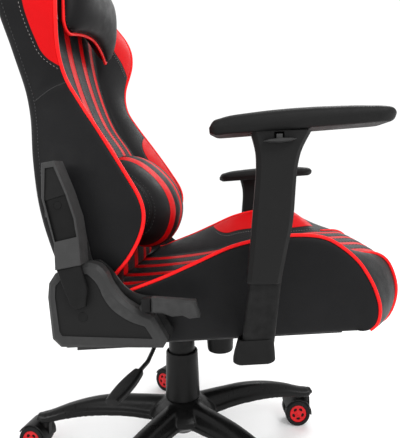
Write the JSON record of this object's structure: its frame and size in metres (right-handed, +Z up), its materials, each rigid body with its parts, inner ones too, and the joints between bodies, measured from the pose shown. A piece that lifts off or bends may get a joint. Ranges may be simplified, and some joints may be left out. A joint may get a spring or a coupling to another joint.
{
  "type": "gaming chair",
  "caption": "High-backed swivel gaming chair with side wings, bucket seat, adjustable arms, head and lumbar pillows, recliner and a star base on twin-wheel casters.",
  "frame": {"origin": "on the floor, on the swivel axis", "axes": "+Z up along the swivel axis, the chair faces -Y, the sitter's right side is -X"},
  "size_m": [0.726, 0.7692, 1.25],
  "materials": {
    "base_nylon": "satin black glass-filled nylon",
    "steel": "plain ground steel",
    "black_steel": "black powder coat",
    "black_plastic": "textured black plastic",
    "trim_plastic": "dark grey textured plastic with lighter bevels",
    "black_leather": "black and red grained artificial leather",
    "arm_plastic": "fine textured black plastic",
    "arm_pad": "soft black polyurethane",
    "caster_tread": "hard black nylon",
    "red_plastic": "glossy red plastic"
  },
  "bodies": {
    "base": {"star_base": "base_nylon", "gas_lift_tube": "steel", "column_cover_lower": "base_nylon"},
    "lift": {"gas_lift_piston": "steel", "column_cover_upper": "base_nylon"},
    "mechanism": {"tilt_housing": "black_steel", "tilt_pivot_pin": "steel", "tilt_spring": "steel"},
    "gas_lever": {"gas_lever_rod": "black_steel", "gas_lever_grip": "black_plastic"},
    "tension_knob": {"tension_knob": "black_plastic"},
    "seat": {"seat_frame": "black_steel", "seat_plate": "black_steel", "seat_bolts": "steel", "seat_cushion": "black_leather", "seat_bolster_right": "black_leather", "seat_bolster_left": "black_leather", "arm_post_right": "black_steel", "arm_post_left": "black_steel", "recliner_right": "black_steel", "recliner_left": "black_steel", "recliner_cover_right": "trim_plastic", "recliner_cover_left": "trim_plastic", "recline_rod": "steel"},
    "back": {"back_frame": "black_steel", "back_bar_right": "trim_plastic", "back_bar_left": "trim_plastic", "back_cushion": "black_leather", "back_bolster_right": "black_leather", "back_bolster_left": "black_leather", "belt_slot_bezels": "black_plastic", "head_pillow": "black_leather", "lumbar_pillow": "black_leather"},
    "recline_lever": {"recline_lever": "black_plastic"},
    "caster_1": {"caster_1_hood": "black_plastic", "caster_1_pins": "steel"},
    "caster_1_wheel_pair": {"caster_1_wheels": "caster_tread", "caster_1_hubcaps": "red_plastic"},
    "caster_2": {"caster_2_hood": "black_plastic", "caster_2_pins": "steel"},
    "caster_2_wheel_pair": {"caster_2_wheels": "caster_tread", "caster_2_hubcaps": "red_plastic"},
    "caster_3": {"caster_3_hood": "black_plastic", "caster_3_pins": "steel"},
    "caster_3_wheel_pair": {"caster_3_wheels": "caster_tread", "caster_3_hubcaps": "red_plastic"},
    "caster_4": {"caster_4_hood": "black_plastic", "caster_4_pins": "steel"},
    "caster_4_wheel_pair": {"caster_4_wheels": "caster_tread", "caster_4_hubcaps": "red_plastic"},
    "caster_5": {"caster_5_hood": "black_plastic", "caster_5_pins": "steel"},
    "caster_5_wheel_pair": {"caster_5_wheels": "caster_tread", "caster_5_hubcaps": "red_plastic"},
    "arm_right": {"arm_sleeve_right": "arm_plastic", "arm_pad_right": "arm_pad"},
    "arm_paddle_right": {"arm_paddle_right": "arm_plastic"},
    "arm_left": {"arm_sleeve_left": "arm_plastic", "arm_pad_left": "arm_pad"},
    "arm_paddle_left": {"arm_paddle_left": "arm_plastic"}
  },
  "joints": [
    {"name": "caster_1_swivel", "type": "hinge", "parent": "base", "child": "caster_1", "pos_m": [0.15417, -0.27813, 0.06], "axis": [0, 0, 1], "continuous": true},
    {"name": "caster_1_roll", "type": "hinge", "parent": "caster_1", "child": "caster_1_wheel_pair", "pos_m": [0.15187, -0.25625, 0.029], "axis": [0.9945, 0.1045, 0], "continuous": true},
    {"name": "caster_2_swivel", "type": "hinge", "parent": "base", "child": "caster_2", "pos_m": [0.31216, 0.06068, 0.06], "axis": [0, 0, 1], "continuous": true},
    {"name": "caster_2_roll", "type": "hinge", "parent": "caster_2", "child": "caster_2_wheel_pair", "pos_m": [0.32316, 0.07973, 0.029], "axis": [0.866, -0.5, 0], "continuous": true},
    {"name": "caster_3_swivel", "type": "hinge", "parent": "base", "child": "caster_3", "pos_m": [0.03875, 0.31563, 0.06], "axis": [0, 0, 1], "continuous": true},
    {"name": "caster_3_roll", "type": "hinge", "parent": "caster_3", "child": "caster_3_wheel_pair", "pos_m": [0.04182, 0.33742, 0.029], "axis": [0.9903, -0.1392, 0], "continuous": true},
    {"name": "caster_4_swivel", "type": "hinge", "parent": "base", "child": "caster_4", "pos_m": [-0.28821, 0.13439, 0.06], "axis": [0, 0, 1], "continuous": true},
    {"name": "caster_4_roll", "type": "hinge", "parent": "caster_4", "child": "caster_4_wheel_pair", "pos_m": [-0.29853, 0.15382, 0.029], "axis": [0.8829, 0.4695, 0], "continuous": true},
    {"name": "caster_5_swivel", "type": "hinge", "parent": "base", "child": "caster_5", "pos_m": [-0.21688, -0.23257, 0.06], "axis": [0, 0, 1], "continuous": true},
    {"name": "caster_5_roll", "type": "hinge", "parent": "caster_5", "child": "caster_5_wheel_pair", "pos_m": [-0.21118, -0.21132, 0.029], "axis": [0.9659, -0.2588, 0], "continuous": true},
    {"name": "seat_height", "type": "slide", "parent": "base", "child": "lift", "axis": [0, 0, 1], "range_m": [0, 0.08]},
    {"name": "seat_swivel", "type": "hinge", "parent": "lift", "child": "mechanism", "pos_m": [0, 0, 0.28], "axis": [0, 0, 1], "continuous": true},
    {"name": "gas_lever_lift", "type": "hinge", "parent": "mechanism", "child": "gas_lever", "pos_m": [-0.052, 0.042, 0.274], "axis": [0, 1, 0], "range_deg": [0, 8], "stiffness_Nm_per_rad": 1.5, "springref_deg": -8.59},
    {"name": "tension_adjust", "type": "hinge", "parent": "mechanism", "child": "tension_knob", "pos_m": [0, -0.082, 0.24], "axis": [0, 0, 1], "range_deg": [-720, 720]},
    {"name": "seat_tilt", "type": "hinge", "parent": "mechanism", "child": "seat", "pos_m": [0, -0.035, 0.314], "axis": [-1, 0, 0], "range_deg": [0, 15], "stiffness_Nm_per_rad": 120, "springref_deg": -20.05},
    {"name": "back_recline", "type": "hinge", "parent": "seat", "child": "back", "pos_m": [0, 0.111, 0.396], "axis": [-1, 0, 0], "range_deg": [0, 60]},
    {"name": "recline_lever_pull", "type": "hinge", "parent": "seat", "child": "recline_lever", "pos_m": [-0.3, 0.018, 0.412], "axis": [-1, 0, 0], "range_deg": [0, 20], "stiffness_Nm_per_rad": 1, "springref_deg": -11.46},
    {"name": "arm_height_right", "type": "slide", "parent": "seat", "child": "arm_right", "axis": [0, -0.1392, 0.9903], "range_m": [-0.076, 0]},
    {"name": "arm_paddle_right_lift", "type": "slide", "parent": "arm_right", "child": "arm_paddle_right", "axis": [0, 0, 1], "range_m": [0, 0.003], "stiffness_N_per_m": 400, "springref_m": -0.004},
    {"name": "arm_height_left", "type": "slide", "parent": "seat", "child": "arm_left", "axis": [0, -0.1392, 0.9903], "range_m": [0, 0.076]},
    {"name": "arm_paddle_left_lift", "type": "slide", "parent": "arm_left", "child": "arm_paddle_left", "axis": [0, 0, 1], "range_m": [0, 0.003], "stiffness_N_per_m": 400, "springref_m": -0.004}
  ]
}
